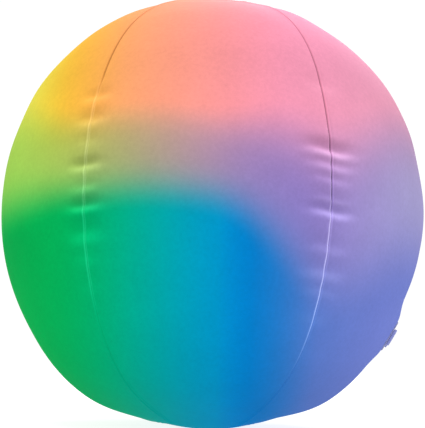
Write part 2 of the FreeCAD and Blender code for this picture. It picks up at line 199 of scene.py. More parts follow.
# latitudes between which the painted highlight on the lip of a seam grows, is full and fades
LIP_HIGHLIGHT_LATITUDES = {30: (25, 0, -25, -50), -30: (30, 20, -18, -38)}
COMMON_LIP_HIGHLIGHT_LATITUDES = (45, 20, -20, -45)
LIP_HIGHLIGHT_PLACE = 0.8 * MM
LIP_HIGHLIGHT_WIDTH = 0.7 * MM
# latitudes above which the needle line of a seam is open, and below which it is closed
NEEDLE_LINE = {30: (0, -8), -30: (30, 22)}
COMMON_NEEDLE_LINE = (40, 25)
# how strong the painted highlight on the left and right lips of a seam is
LIP_HIGHLIGHT_SIDES = {30: (1.6, 0.2), -30: (0.5, 0.5)}
COMMON_LIP_HIGHLIGHT_SIDES = (0.6, 0.6)
TURNED_IN_PALENESS = 0.2
# painted shade: the needle line is painted darker where the groove is open
GROOVE_SHADE = 1.5  # how dark the needle line is where the groove is open
GROOVE_SHADE_WIDTH = 0.55 * MM

GROOVE_DEPTH = 1.1 * MM
GROOVE_WIDTH = 0.7 * MM
CLOSED_GROOVE = 0.2  # how deep the groove is, in shares, where the needle line is closed
LIP_HEIGHT = 0.4 * MM
LIP_PLACE = 1.7 * MM
LIP_WIDTH = 1.0 * MM


def smooth(low, high, value):
    """0 below low, 1 above high, and an even S between them."""
    share = np.clip((value - low) / (high - low), 0, 1)
    return share * share * (3 - 2 * share)


def bell(offset, width):
    """1 at no offset, falling away evenly on both sides."""
    return np.exp(-(offset / width) ** 2)


# ---- the profile ----

SHOULDER_OUT = RADIUS - EQUATOR_ARC + (EQUATOR_ARC - SHOULDER_ARC) * math.cos(SHOULDER_START)
SHOULDER_UP = (EQUATOR_ARC - SHOULDER_ARC) * math.sin(SHOULDER_START)
POLAR_UP = SHOULDER_UP - math.sqrt((POLAR_ARC - SHOULDER_ARC) ** 2 - SHOULDER_OUT ** 2)
POLAR_START = math.atan2(SHOULDER_UP - POLAR_UP, SHOULDER_OUT)
# where each arc starts, its radius, and its centre's distance from the axis and height
ARCS = (
    (0.0, EQUATOR_ARC, RADIUS - EQUATOR_ARC, 0.0),
    (SHOULDER_START, SHOULDER_ARC, SHOULDER_OUT, SHOULDER_UP),
    (POLAR_START, POLAR_ARC, 0.0, POLAR_UP),
)
TURNS = np.array([0.0, SHOULDER_START, POLAR_START, math.pi / 2])
LENGTHS = np.concatenate([[0.0], np.cumsum([arc[1] for arc in ARCS] * np.diff(TURNS))])
CAP_LENGTH = float(np.interp(math.acos(CAP_RADIUS / POLAR_ARC), TURNS, LENGTHS))
DISC_LENGTH = float(np.interp(math.acos(DISC_RADIUS / POLAR_ARC), TURNS, LENGTHS))


def tilt_at(length):
    """The tilt at a length along the profile."""
    return np.copysign(np.interp(np.abs(length), LENGTHS, TURNS), length)


def profile(tilt):
    """Distance from the axis, and height above the middle, where the normal has a tilt."""
    lean = np.abs(tilt)
    out = np.zeros_like(lean)
    up = np.zeros_like(lean)
    for start, radius, centre_out, centre_up in ARCS:
        here = lean >= start
        out[here] = centre_out + radius * np.cos(lean[here])
        up[here] = centre_up + radius * np.sin(lean[here])
    return out, np.copysign(up, tilt)


# ---- the valve's place ----

VALVE_AXIS = Vector(next(j["axis"] for j in frame["joints"] if j["name"] == "valve_stem_slide"))
FLAP_LOW, FLAP_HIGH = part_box("valve_flap")
FLAP_CENTRE = (FLAP_LOW + FLAP_HIGH) / 2
VALVE_LONGITUDE = math.degrees(math.atan2(VALVE_AXIS.x, -VALVE_AXIS.y))


def valve_distance(points):
    """How far points are from the valve's axis, and infinity behind the ball's middle."""
    away = points - np.array(FLAP_CENTRE)
    along = away @ np.array(VALVE_AXIS)
    aside = np.linalg.norm(away - along[..., None] * np.array(VALVE_AXIS), axis=-1)
    return np.where(along > -RADIUS / 2, aside, np.inf)


# ---- relief ----

def turned(longitude):
    """The same longitude between -180 and 180."""
    return (longitude + 180) % 360 - 180


def nearest_seam(longitude):
    """The signed angle from the nearest seam, and that seam's number in SEAMS."""
    number = np.floor((longitude + 180) / SEAM_STEP).astype(int) % len(SEAMS)
    return (longitude + 180) % SEAM_STEP - SEAM_STEP / 2, number


def ripple(points):
    """Smooth seeded unevenness between about -1 and 1."""
    draw = np.random.default_rng(RIPPLE_SEED)
    total = np.zeros(points.shape[:-1])
    for _ in range(RIPPLE_WAVES):
        heading = draw.normal(size=3)
        heading /= np.linalg.norm(heading)
        total += np.sin(points @ heading * (2 * math.pi / RIPPLE_PITCH) + draw.uniform(0, 2 * math.pi))
    return total / math.sqrt(RIPPLE_WAVES)


def broad_relief(longitude, latitude, out, points):
    """Height of the swells, the valleys along the seams, the ripple and the caps' edges."""
    size = np.abs(latitude)
    height = np.zeros_like(out)
    for at_longitude, at_latitude, width, rise in SWELLS:
        aside = turned(longitude - at_longitude) * np.cos(np.radians(latitude))
        height += rise * MM * bell(np.hypot(aside, latitude - at_latitude), width)
    angle, number = nearest_seam(longitude)
    depth = np.array([VALLEYS[seam] for seam in SEAMS])[number] * MM
    height -= depth * (1 - smooth(*VALLEY_FADE, size)) * bell(np.radians(angle) * out, VALLEY_WIDTH)
    height += RIPPLE_HEIGHT * ripple(points) * (1 - smooth(*RIPPLE_FADE, size))
    height += CAP_EDGE_RISE * smooth(*CAP_RISE_START, size) * (1 - smooth(*CAP_RISE_END, size))
    return height


def seeded_folds(seed):
    """Random puckers for a seam, of the same kind as the listed ones."""
    draw = np.random.default_rng(seed)
    latitudes = np.linspace(HIGHEST_FOLD, -HIGHEST_FOLD, FOLDS_PER_SEAM)
    latitudes += draw.uniform(-FOLD_SPREAD, FOLD_SPREAD, FOLDS_PER_SEAM)
    sizes = (DEPTH_RANGE, WIDTH_RANGE, REACH_RANGE)
    return [(latitude, *[draw.uniform(*limits) for limits in sizes]) for latitude in latitudes]


ALL_FOLDS = {**FOLDS, **{seam: seeded_folds(seed) for seam, seed in FOLD_SEEDS.items()}}


def height_above(seam, across, angle):
    """How far places are above a pucker that slants across its seam."""
    slant = smooth(-SLANT_REACH, SLANT_REACH, across) - 0.5
    return np.radians(angle) * RADIUS + FOLD_SLANT.get(seam, 0) * slant


def fold_end(across, reach):
    """1 at a seam, falling to nothing past a pucker's reach."""
    return np.exp(-np.abs(across / (reach * MM)) ** FOLD_END)


def fold_relief(seam, across, latitude):
    """Height of the puckers beside one seam: each falls away gently above and rises more quickly below."""
    height = np.zeros_like(across)
    for at_latitude, depth, width, reach in ALL_FOLDS[seam]:
        above = height_above(seam, across, latitude - at_latitude)
        step = above / (np.where(above > 0, SLOPE_ABOVE, SLOPE_BELOW) * width * MM)
        valley = (1 - RIDGE_SHARE * step ** 2) * np.exp(-step ** 2 / 2)
        height -= depth * MM * valley * fold_end(across, reach)
    return height


def fold_painted_highlight(seam, across, latitude):
    """Painted highlight where the cloth turns back out, up to the light, below each pucker."""
    pale_and_painted_light = np.zeros_like(across)
    for at_latitude, depth, width, reach in ALL_FOLDS[seam]:
        above = height_above(seam, across, latitude - at_latitude)
        # painted highlight band below the pucker, where the cloth faces the light
        band = bell(above + HIGHLIGHT_BAND_PLACE * width * MM, HIGHLIGHT_BAND_WIDTH * width * MM)
        pale_and_painted_light += depth * band * fold_end(across, reach)
    return FOLD_HIGHLIGHT.get(seam, COMMON_FOLD_HIGHLIGHT) * pale_and_painted_light


def lip_relief(across, openness=1.0):
    """Height of the groove at a seam and of the soft lip on each side of it."""
    groove = GROOVE_DEPTH * openness * bell(across, GROOVE_WIDTH)
    return LIP_HEIGHT * bell(np.abs(across) - LIP_PLACE, LIP_WIDTH) - groove


def drift(seam, latitude):
    """How far the puckers draw a seam to the right."""
    pull = np.zeros_like(latitude)
    for at_latitude, depth, width, _ in ALL_FOLDS[seam]:
        pull += depth * MM * bell(np.radians(latitude - at_latitude) * RADIUS, 2 * width * MM)
    return SEAM_PULL.get(seam, COMMON_PULL) * pull


def lip_highlight_share(seam, latitude):
    """How strongly the painted highlight on the lip of a seam shows."""
    start, full, fading, end = LIP_HIGHLIGHT_LATITUDES.get(seam, COMMON_LIP_HIGHLIGHT_LATITUDES)
    return smooth(end, fading, latitude) * (1 - smooth(full, start, latitude))


def needle_share(seam, latitude):
    """How open the needle line of a seam is."""
    start, end = NEEDLE_LINE.get(seam, COMMON_NEEDLE_LINE)
    return smooth(end, start, latitude)


def hexagon_share(latitude):
    """How nearly six-sided the cover is."""
    size = np.abs(latitude)
    most = np.where(latitude > 0, HEXAGON_TOP, HEXAGON_BOTTOM)
    return most * smooth(*HEXAGON_START, size) * (1 - HEXAGON_LOSS * smooth(*HEXAGON_END, size))


def ball_points(longitude, length, height, broad=True):
    """Points at a height above the cover, and the outward directions there. broad adds the broad relief."""
    tilt = tilt_at(length)
    out, up = profile(tilt)
    turn = np.radians(longitude)
    ahead = np.stack([np.sin(turn), -np.cos(turn), np.zeros_like(turn)], -1)
    lift = np.array([0, 0, 1.0])
    normal = ahead * np.cos(tilt)[..., None] + lift * np.sin(tilt)[..., None]
    even = ahead * out[..., None] + lift * (up + MIDDLE)[..., None]
    calm = smooth(*VALVE_CALM, valve_distance(even))
    latitude = np.degrees(np.arctan2(up, out))
    if broad:
        height = height + calm * broad_relief(longitude, latitude, out, even)
    angle, _ = nearest_seam(longitude)
    from_panel_middle = np.radians(SEAM_STEP / 2 - np.abs(angle))
    side = math.cos(math.radians(SEAM_STEP / 2)) / np.cos(from_panel_middle)
    flatter = 1 + hexagon_share(latitude) * (side - 1)
    points = ahead * (out * flatter)[..., None] + lift * (up + MIDDLE)[..., None] + normal * height[..., None]
    return points, normal


def rest_on_floor(points, lowest, highest):
    """Points with their heights held between two levels."""
    points[..., 2] = np.clip(points[..., 2], lowest, highest)
    return points


# ---- mesh helpers ----

def make_mesh(name, points, faces, material, shades=None):
    """A smooth-shaded mesh object. shades is one number for each point: how much paler the print is painted
    there, by painted highlights and a paler turned-in back, and how much darker by painted shade where it is
    below 0.
    """
    mesh = bpy.data.meshes.new(name)
    mesh.from_pydata(points.reshape(-1, 3).tolist(), [], faces)
    mesh.polygons.foreach_set("use_smooth", [True] * len(mesh.polygons))
    if shades is not None:
        attribute = mesh.attributes.new("pale_and_painted_light", "FLOAT", "POINT")
        attribute.data.foreach_set("value", shades.ravel().astype(np.float32))
    mesh.materials.append(material)
    mesh.validate()
    mesh.update()
    piece = bpy.data.objects.new(name, mesh)
    bpy.context.scene.collection.objects.link(piece)
    return piece


def add_cloth_map(piece, places):
    """A UV map that runs along and across the cloth, one unit to a metre."""
    layer = piece.data.uv_layers.new(name="cloth")
    corner = np.zeros(len(piece.data.loops), np.int32)
    piece.data.loops.foreach_get("vertex_index", corner)
    layer.data.foreach_set("uv", places.reshape(-1, 2)[corner].ravel())


def grid_faces(rows, columns, closed=False):
    """Faces of a grid of points, row by row. closed joins the last column to the first."""
    first = np.arange(rows - 1)[:, None] * columns
    steps = columns if closed else columns - 1
    left = np.arange(steps)
    right = (left + 1) % columns
    faces = np.stack([first + left, first + right, first + columns + right, first + columns + left], -1)
    return faces.reshape(-1, 4)


THREAD_SIDES = 6


def strand(name, path, outward, radius, material, closed=False):
    """A thread: a tube that follows a path of points."""
    ahead = np.roll(path, -1, 0) - np.roll(path, 1, 0)
    if not closed:
        ahead[0] = path[1] - path[0]
        ahead[-1] = path[-1] - path[-2]
    ahead /= np.linalg.norm(ahead, axis=1)[:, None]
    side = np.cross(ahead, outward)
    side /= np.linalg.norm(side, axis=1)[:, None]
    rise = np.cross(side, ahead)
    turn = np.linspace(0, 2 * math.pi, THREAD_SIDES, endpoint=False)
    ring = side[:, None] * np.cos(turn)[None, :, None] + rise[:, None] * np.sin(turn)[None, :, None]
    points = path[:, None] + radius * ring
    faces = grid_faces(len(path), THREAD_SIDES, closed=True).tolist()
    start = np.arange(THREAD_SIDES)
    last = start + (len(path) - 1) * THREAD_SIDES
    if closed:
        faces += np.stack([last, np.roll(last, -1), np.roll(start, -1), start], -1).tolist()
    else:
        faces += [start[::-1].tolist(), last.tolist()]
    return make_mesh(name, points, faces, material)


# ---- materials ----

# the dyes, as display colours
YELLOW = (0.95, 0.95, 0.35)
GOLD = (1.00, 0.75, 0.20)
APRICOT = (1.00, 0.65, 0.45)
SALMON = (1.00, 0.60, 0.55)
PINK = (1.00, 0.60, 0.75)
ROSE = (1.00, 0.70, 0.80)
GREEN = (0.00, 0.65, 0.30)
SEA_GREEN = (0.00, 0.65, 0.50)
AZURE = (0.00, 0.55, 0.80)
BLUE = (0.00, 0.45, 0.75)
PERIWINKLE = (0.40, 0.45, 0.75)
LAVENDER = (0.45, 0.50, 0.80)
LIME = (0.70, 0.85, 0.35)
SAGE = (0.70, 0.65, 0.40)
MAUVE = (0.75, 0.50, 0.65)
VIOLET = (0.50, 0.45, 0.75)
LILAC = (0.70, 0.70, 0.90)
# the print is a warm sweep of dyes over a cool one. Each dye has a place across the ball, -1 to 1.
WARM_SWEEP = ((-0.8, YELLOW), (-0.6, GOLD), (-0.35, APRICOT), (-0.05, SALMON), (0.3, PINK), (0.9, ROSE))
COOL_SWEEP = ((-0.6, GREEN), (-0.3, SEA_GREEN), (0.05, AZURE), (0.2, BLUE), (0.45, PERIWINKLE),
              (0.95, LAVENDER))
# what the inks make where the sweeps overlap, and how much of it there is halfway between them
OVERLAP_SWEEP = ((-0.8, LIME), (-0.35, SAGE), (0.0, MAUVE), (0.3, VIOLET), (0.5, VIOLET), (0.8, LILAC))
OVERLAP_SHARE = 0.7
# the sweeps mix in a band, in shares of the ball's radius
BAND_HEIGHT = 0.02
# how the band rises and dips: place across the ball, width and rise
BAND_WAVES = ((-0.95, 0.35, 0.10), (-0.25, 0.45, 0.08), (0.5, 0.22, -0.12), (0.95, 0.25, 0.06))
BAND_HALF_WIDTH = 0.25
# how the band widens to the right and at the left limb: places where that starts and ends, and by how much
BAND_WIDENINGS = ((0.0, 0.5, 0.20), (-0.55, -0.95, 0.12))
DISPLAY_GAMMA = 2.2


class Nodes:
    """A new material's node tree, with short ways to add to it."""

    def __init__(self, name):
        self.material = bpy.data.materials.new(name)
        self.material.use_nodes = True
        self.tree = self.material.node_tree
        self.shader = self.tree.nodes["Principled BSDF"]

    def add(self, kind, **settings):
        """A new node with its settings."""
        node = self.tree.nodes.new(kind)
        for key, value in settings.items():
            setattr(node, key, value)
        return node

    def link(self, source, socket):
        self.tree.links.new(source, socket)

    def feed(self, socket, value):
        """Puts a number on a socket, or links another node's output to it."""
        if isinstance(value, bpy.types.NodeSocket):
            self.link(value, socket)
        else:
            socket.default_value = value

    def math(self, operation, first, second=None, third=None):
        """The result of a sum on numbers or outputs."""
        node = self.add("ShaderNodeMath", operation=operation)
        for socket, value in zip(node.inputs, (first, second, third)):
            if value is not None:
                self.feed(socket, value)
        return node.outputs[0]

    def vector(self, operation, first, second=None, scale=None):
        """The result of a sum on vectors."""
        node = self.add("ShaderNodeVectorMath", operation=operation)
        self.feed(node.inputs[0], first)
        if second is not None:
            self.feed(node.inputs[1], second)
        if scale is not None:
            self.feed(node.inputs["Scale"], scale)
        return node.outputs["Vector"]

    def noise(self, place, scale, detail=2.0):
        """A noise round a half."""
        node = self.add("ShaderNodeTexNoise")
        self.feed(node.inputs["Vector"], place)
        node.inputs["Scale"].default_value = scale
        node.inputs["Detail"].default_value = detail
        return node.outputs["Fac"]

    def varied(self, place, scale, least, spread, detail=2.0):
        """A noise between least and least + spread."""
        return self.math("MULTIPLY_ADD", self.noise(place, scale, detail), spread, least)

    def place(self):
        """Where a point is in the frame."""
        return self.add("ShaderNodeTexCoord").outputs["Object"]

    def separate(self, vector):
        """The X, Y and Z outputs of a vector."""
        node = self.add("ShaderNodeSeparateXYZ")
        self.link(vector, node.inputs[0])
        return node.outputs

    def mix_colour(self, share, first, second):
        """The first colour where the share is 0 and the second where it is 1."""
        node = self.add("ShaderNodeMix", data_type="RGBA")
        self.feed(node.inputs["Factor"], share)
        first_colour, second_colour = [socket for socket in node.inputs if socket.type == "RGBA"]
        self.feed(first_colour, first)
        self.feed(second_colour, second)
        return next(socket for socket in node.outputs if socket.type == "RGBA")

    def eased(self, value, low, high):
        """0 below low, 1 above high, and an even S between them."""
        node = self.add("ShaderNodeMapRange", interpolation_type="SMOOTHSTEP")
        self.feed(node.inputs["Value"], value)
        node.inputs["From Min"].default_value = low
        node.inputs["From Max"].default_value = high
        return node.outputs["Result"]

    def bell(self, offset, width):
        """1 at no offset, falling away evenly on both sides."""
        share = self.math("DIVIDE", offset, width)
        return self.math("EXPONENT", self.math("MULTIPLY", self.math("MULTIPLY", share, share), -1.0))

    def bump(self, height, distance, strength, after=None):
        """A normal leaned by a height, on top of an earlier bump if there is one."""
        node = self.add("ShaderNodeBump")
        node.inputs["Strength"].default_value = strength
        node.inputs["Distance"].default_value = distance
        self.feed(node.inputs["Height"], height)
        if after is not None:
            self.link(after, node.inputs["Normal"])
        return node.outputs["Normal"]


def ramp(nodes, share, stops):
    """A colour ramp with stops from 0 to 1 that run softly into one another."""
    node = nodes.add("ShaderNodeValToRGB")
    node.color_ramp.interpolation = "B_SPLINE"
    elements = node.color_ramp.elements
    while len(elements) > 1:
        elements.remove(elements[-1])
    for number, (position, colour) in enumerate(stops):
        element = elements[0] if number == 0 else elements.new(position)
        element.position = position
        element.color = (*colour, 1)
    nodes.link(share, node.inputs["Fac"])
    return node.outputs["Color"]


def dye_sweep(nodes, across, sweep):
    """The dyes of one sweep, each running into the next."""
    share = nodes.math("MULTIPLY_ADD", across, 0.5, 0.5)
    return ramp(nodes, share, [((at + 1) / 2, dye) for at, dye in sweep])


def printed_colour(nodes, place):
    """The rainbow print in display colours, by direction from the middle of the ball. The back is the front
    mirrored."""
    away = nodes.vector("NORMALIZE", nodes.vector("SUBTRACT", place, (0, 0, MIDDLE)))
    parts = nodes.separate(away)
    across = parts["X"]
    height = BAND_HEIGHT
    for at, width, rise in BAND_WAVES:
        offset = nodes.math("SUBTRACT", across, at)
        height = nodes.math("MULTIPLY_ADD", nodes.bell(offset, width), rise, height)
    half_width = BAND_HALF_WIDTH
    for start, end, growth in BAND_WIDENINGS:
        half_width = nodes.math("MULTIPLY_ADD", nodes.eased(across, start, end), growth, half_width)
    above = nodes.math("DIVIDE", nodes.math("SUBTRACT", parts["Z"], height), half_width)
    warmth = nodes.eased(above, -1, 1)
    coolness = nodes.math("SUBTRACT", 1.0, warmth)
    # warmth times coolness is a quarter at most
    overlap_share = nodes.math("MULTIPLY", nodes.math("MULTIPLY", warmth, coolness), 4 * OVERLAP_SHARE)
    cool = dye_sweep(nodes, across, COOL_SWEEP)
    warm = dye_sweep(nodes, across, WARM_SWEEP)
    overlap = dye_sweep(nodes, across, OVERLAP_SWEEP)
    return nodes.mix_colour(overlap_share, nodes.mix_colour(warmth, cool, warm), overlap)


# painted light and shade by height: the print is made lighter low on the ball, where the lamps leave it in
# shade, less so at the foot, which keeps some painted shade, and darker at the top, where the key lamp lights
# it most; and the shares of the height over which it changes
PAINTED_LIGHT_FOOT = 1.05
PAINTED_LIGHT_LOW = 1.30
PAINTED_LIGHT_TOP = 0.62
FOOT_RANGE = (0.0, 0.25)
TOP_RANGE = (0.20, 0.80)
# where the pale attribute is set (painted highlights, painted shade below 0, the paler turned-in back): how
# far the dye turns to white, and how much lighter it is painted
WHITENING = 0.22
BRIGHTENING = 0.35

WEAVE_PITCH = 1.15 * MM
WEAVE_WANDER = 9.0  # how far the threads stray, in radians of the weave
THREAD_SHADOW = 0.72  # how dark the dark parts of a thread are
VINYL_SHADOW = 0.88


def painted_light_by_height(nodes, place):
    """Painted light and shade: how much lighter or darker the print is made, by height."""
    share = nodes.math("DIVIDE", nodes.separate(place)["Z"], 2 * MIDDLE)
    strength = nodes.math("MULTIPLY_ADD", nodes.eased(share, *FOOT_RANGE), PAINTED_LIGHT_LOW - PAINTED_LIGHT_FOOT, PAINTED_LIGHT_FOOT)
    return nodes.math("MULTIPLY_ADD", nodes.eased(share, *TOP_RANGE), PAINTED_LIGHT_TOP - PAINTED_LIGHT_LOW, strength)


def cloth_dye(nodes, place):
    """The print with blotches, mottling and slubs, with painted highlights on the seams' lips and below the
    puckers, painted shade in the needle line and painted light and shade by height.
    """
    blotch = nodes.varied(place, scale=35.0, least=0.975, spread=0.05, detail=3.0)
    mottle = nodes.varied(place, scale=320.0, least=0.96, spread=0.08, detail=3.0)
    slub = nodes.varied(place, scale=900.0, least=0.975, spread=0.05)
    unevenness = nodes.math("MULTIPLY", nodes.math("MULTIPLY", blotch, mottle), slub)
    colour = nodes.vector("SCALE", printed_colour(nodes, place), scale=unevenness)
    # the pale attribute holds painted highlights on the lips and below the puckers and painted shade in the
    # needle line
    pale_and_painted_light = nodes.add("ShaderNodeAttribute", attribute_name="pale_and_painted_light").outputs["Fac"]
    colour = nodes.mix_colour(nodes.math("MULTIPLY", pale_and_painted_light, WHITENING), colour, (1, 1, 1, 1))
    gamma = nodes.add("ShaderNodeGamma")
    gamma.inputs["Gamma"].default_value = DISPLAY_GAMMA
    nodes.link(colour, gamma.inputs["Color"])
    brightening = nodes.math("MULTIPLY_ADD", pale_and_painted_light, BRIGHTENING, 1.0)
    # the print's brightness carries painted light and shade by height
    strength = nodes.math("MULTIPLY", painted_light_by_height(nodes, place), brightening)
    return nodes.vector("SCALE", gamma.outputs[0], scale=strength)


def cloth_relief(nodes, place):
    """The normal of the weave, with grain below it and slight waviness above it."""
    wander = nodes.math("MULTIPLY", nodes.noise(place, scale=260.0), WEAVE_WANDER)
    thread_map = nodes.separate(nodes.add("ShaderNodeUVMap", uv_map="cloth").outputs["UV"])
    waves = []
    for axis in (0, 1):
        phase = nodes.math("MULTIPLY", thread_map[axis], 2 * math.pi / WEAVE_PITCH)
        waves.append(nodes.math("SINE", nodes.math("ADD", phase, wander)))
    grain = nodes.bump(nodes.noise(place, scale=1500.0), distance=0.05 * MM, strength=0.5)
    weave = nodes.bump(nodes.math("MULTIPLY", *waves), distance=0.05 * MM, strength=0.6, after=grain)
    waviness = nodes.noise(place, scale=60.0, detail=3.0)
    return nodes.bump(waviness, distance=0.35 * MM, strength=0.6, after=weave)


def cloth_material():
    """Matt woven polyester with a dye print, and painted highlights on the lips of the seams and below the
    puckers.
    """
    nodes = Nodes("printed_cloth")
    place = nodes.place()
    nodes.link(cloth_dye(nodes, place), nodes.shader.inputs["Base Color"])
    nodes.link(cloth_relief(nodes, place), nodes.shader.inputs["Normal"])
    roughness = nodes.varied(place, scale=120.0, least=0.75, spread=0.12)
    nodes.link(roughness, nodes.shader.inputs["Roughness"])
    nodes.shader.inputs["Specular IOR Level"].default_value = 0.02
    return nodes.material


def uneven_colour(nodes, share, colour, shadow):
    """A colour that a share between 0 and 1 darkens by up to a factor."""
    dark = [shadow * part for part in colour]
    nodes.link(nodes.mix_colour(share, (*dark, 1), (*colour, 1)), nodes.shader.inputs["Base Color"])


def thread_material(name, colour, twist):
    """Spun polyester sewing thread with its plies."""
    nodes = Nodes(name)
    place = nodes.place()
    uneven_colour(nodes, nodes.noise(place, scale=2500.0, detail=3.0), colour, THREAD_SHADOW)
    plies = nodes.add("ShaderNodeTexWave", wave_type="BANDS", bands_direction="DIAGONAL")
    nodes.link(place, plies.inputs["Vector"])
    plies.inputs["Scale"].default_value = twist
    normal = nodes.bump(plies.outputs["Fac"], distance=0.08 * MM, strength=0.7)
    nodes.link(normal, nodes.shader.inputs["Normal"])
    nodes.shader.inputs["Roughness"].default_value = 0.55
    nodes.shader.inputs["Sheen Weight"].default_value = 0.2
    return nodes.material


def vinyl_material(name, colour, roughness, transmission=0.0):
    """Soft moulded vinyl: even colour, faint clouding, a fine orange-peel skin."""
    nodes = Nodes(name)
    place = nodes.place()
    uneven_colour(nodes, nodes.noise(place, scale=180.0, detail=3.0), colour, VINYL_SHADOW)
    skin = nodes.bump(nodes.noise(place, scale=1400.0), distance=0.04 * MM, strength=0.5)
    nodes.link(skin, nodes.shader.inputs["Normal"])
    rough = nodes.varied(place, scale=500.0, least=roughness, spread=0.1)
    nodes.link(rough, nodes.shader.inputs["Roughness"])
    nodes.shader.inputs["Subsurface Weight"].default_value = 0.15
    nodes.shader.inputs["Subsurface Radius"].default_value = (0.004, 0.003, 0.004)
    nodes.shader.inputs["Transmission Weight"].default_value = transmission
    return nodes.material


# ---- the pieces ----

# distances from a seam at its lip. The rest of a half panel is cut into steps, each wider than the last.
LIP = np.array([0, 0.15, 0.35, 0.6, 0.9, 1.3, 1.8, 2.4, 3.2, 4.2]) * MM
STEP_SIZES = 1.04 ** np.arange(36)
SHARES = np.cumsum(STEP_SIZES) / STEP_SIZES.sum()
# the turned-in allowance: distance back from the seam and depth below the outside
UNDER_ACROSS = np.array([7.5, 4.5, 2.2, 0.9, 0.35, 0.12]) * MM
UNDER_DEPTH = np.array([1.5, 1.5, 1.5, 1.45, 1.35, 1.15]) * MM
ROW_STEP = 1.25 * MM

SEAM_FADE = (0.55, 0.95)  # where what belongs to a seam fades out, in shares of the half panel
DRIFT_REACH = 12 * MM
LIP_START = 9 * MM  # how far from a cap's seam the lip of a panel's seam is full
CAP_ROOM = 2 * MM  # how far above the CAD's top the cloth of the panels may be
PUNCH_REACH = 4 * MM  # how far outside the valve's opening its ragged edge can be
PATTERN_STEPS = 400


def stand_in(piece, node):
    """Puts a piece of the ball in the place of a CAD node."""
    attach(piece, "ball")
    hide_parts(node)


def panel_rows():
    """Lengths along the profile for a panel's rows, from the top cap to the bottom one."""
    inner = CAP_LENGTH - LIP[-1]
    middle = np.linspace(inner, -inner, round(2 * inner / ROW_STEP))[1:-1]
    ends = CAP_LENGTH - LIP
    return np.concatenate([ends, middle, -ends[::-1]])


def half_columns(half_width):
    """Distances from the seam, and depths, of a half panel's columns, from the turned-in edge inwards."""
    rows = len(half_width)
    lip = np.broadcast_to(LIP, (rows, len(LIP)))
    rest = LIP[-1] + (half_width[:, None] - LIP[-1]) * SHARES
    under = np.broadcast_to(UNDER_ACROSS, (rows, len(UNDER_ACROSS)))
    across = np.concatenate([under, lip, rest], axis=1)
    depth = np.zeros_like(across)
    depth[:, :len(UNDER_DEPTH)] = UNDER_DEPTH
    return across, depth


def seam_painted_light(seam, side, across, latitude, calm):
    """The painted highlight on a seam's lip and below its puckers, and the painted shade in its needle line.
    """
    lip_highlight_side = LIP_HIGHLIGHT_SIDES.get(seam, COMMON_LIP_HIGHLIGHT_SIDES)[0 if side < 0 else 1]
    # painted highlight on the seam's lip, where it catches the light
    pale_and_painted_light = lip_highlight_share(seam, latitude) * lip_highlight_side * bell(across - LIP_HIGHLIGHT_PLACE, LIP_HIGHLIGHT_WIDTH)
    # painted highlight below the puckers
    pale_and_painted_light = np.maximum(pale_and_painted_light, calm * fold_painted_highlight(seam, side * across, latitude))
    # painted shade in the needle line
    return pale_and_painted_light - GROOVE_SHADE * needle_share(seam, latitude) * bell(across, GROOVE_SHADE_WIDTH)


def half_panel(seam, side, lengths):
    """Points, paleness with painted highlight and shade, places on the cloth and distances from the seam, for
    the half panel beside a seam.
    """
    out, up = profile(tilt_at(lengths))
    half_width = out * math.radians(SEAM_STEP / 2)
    across, depth = half_columns(half_width)
    turned_in = np.arange(across.shape[1]) < len(UNDER_ACROSS)
    latitude = np.broadcast_to(np.degrees(np.arctan2(up, out))[:, None], across.shape)
    out = np.broadcast_to(out[:, None], across.shape)
    length = np.broadcast_to(lengths[:, None], across.shape)

    window = 1 - smooth(*SEAM_FADE, across / half_width[:, None])
    wander = drift(seam, latitude) * bell(across, DRIFT_REACH) * window
    longitude = seam + np.degrees((side * across + wander) / out)
    even = ball_points(longitude, length, np.zeros_like(out), broad=False)[0]
    calm = smooth(*VALVE_CALM, valve_distance(even)) * window
    near_cap = CAP_LENGTH - np.abs(length)
    openness = CLOSED_GROOVE + (1 - CLOSED_GROOVE) * needle_share(seam, latitude)
    lip = np.where(turned_in, 0, lip_relief(across, openness) * smooth(0, LIP_START, near_cap))
    height = calm * fold_relief(seam, side * across, latitude)
    height = height + calm * lip + lip_relief(near_cap) - depth
    points = ball_points(longitude, length, height)[0]

    # painted highlights and painted shade at the seam; the turned-in back is paler
    pale_and_painted_light = np.where(turned_in, TURNED_IN_PALENESS, seam_painted_light(seam, side, across, latitude, calm))
    return points, pale_and_painted_light, np.stack([side * across, length], -1), across


def join_halves(left_half, right_half):
    """Columns of a whole panel from its left edge to its right one, with the middle column once."""
    return np.concatenate([left_half, right_half[:, ::-1][:, 1:]], axis=1)


def punch(points, faces, radius):
    """Takes away any faces inside the valve's opening and brings its edge to the circle."""
    flat = points.reshape(-1, 3)
    distance = valve_distance(flat)
    if distance.min() >= radius:
        return faces
    faces = faces[(distance[faces] > radius).all(axis=1)]
    edges = np.sort(np.concatenate([faces[:, [i, (i + 1) % 4]] for i in range(4)]), axis=1)
    unique, uses = np.unique(edges, axis=0, return_counts=True)
    rim = np.unique(unique[uses == 1])
    rim = rim[distance[rim] < radius + PUNCH_REACH]
    away = flat[rim] - np.array(FLAP_CENTRE)
    along = (away @ np.array(VALVE_AXIS))[:, None] * np.array(VALVE_AXIS)
    aside = away - along
    aside *= radius / np.linalg.norm(aside, axis=1)[:, None]
    flat[rim] = np.array(FLAP_CENTRE) + along + aside
    return faces


def pattern_area(half_length, allowance):
    """Flat area of one gore's paper pattern with its allowances."""
    lengths = np.linspace(-half_length, half_length, PATTERN_STEPS)
    widths = 2 * math.pi * profile(tilt_at(lengths))[0] / len(SEAMS) + 2 * allowance
    return float(widths.mean() * 2 * half_length)


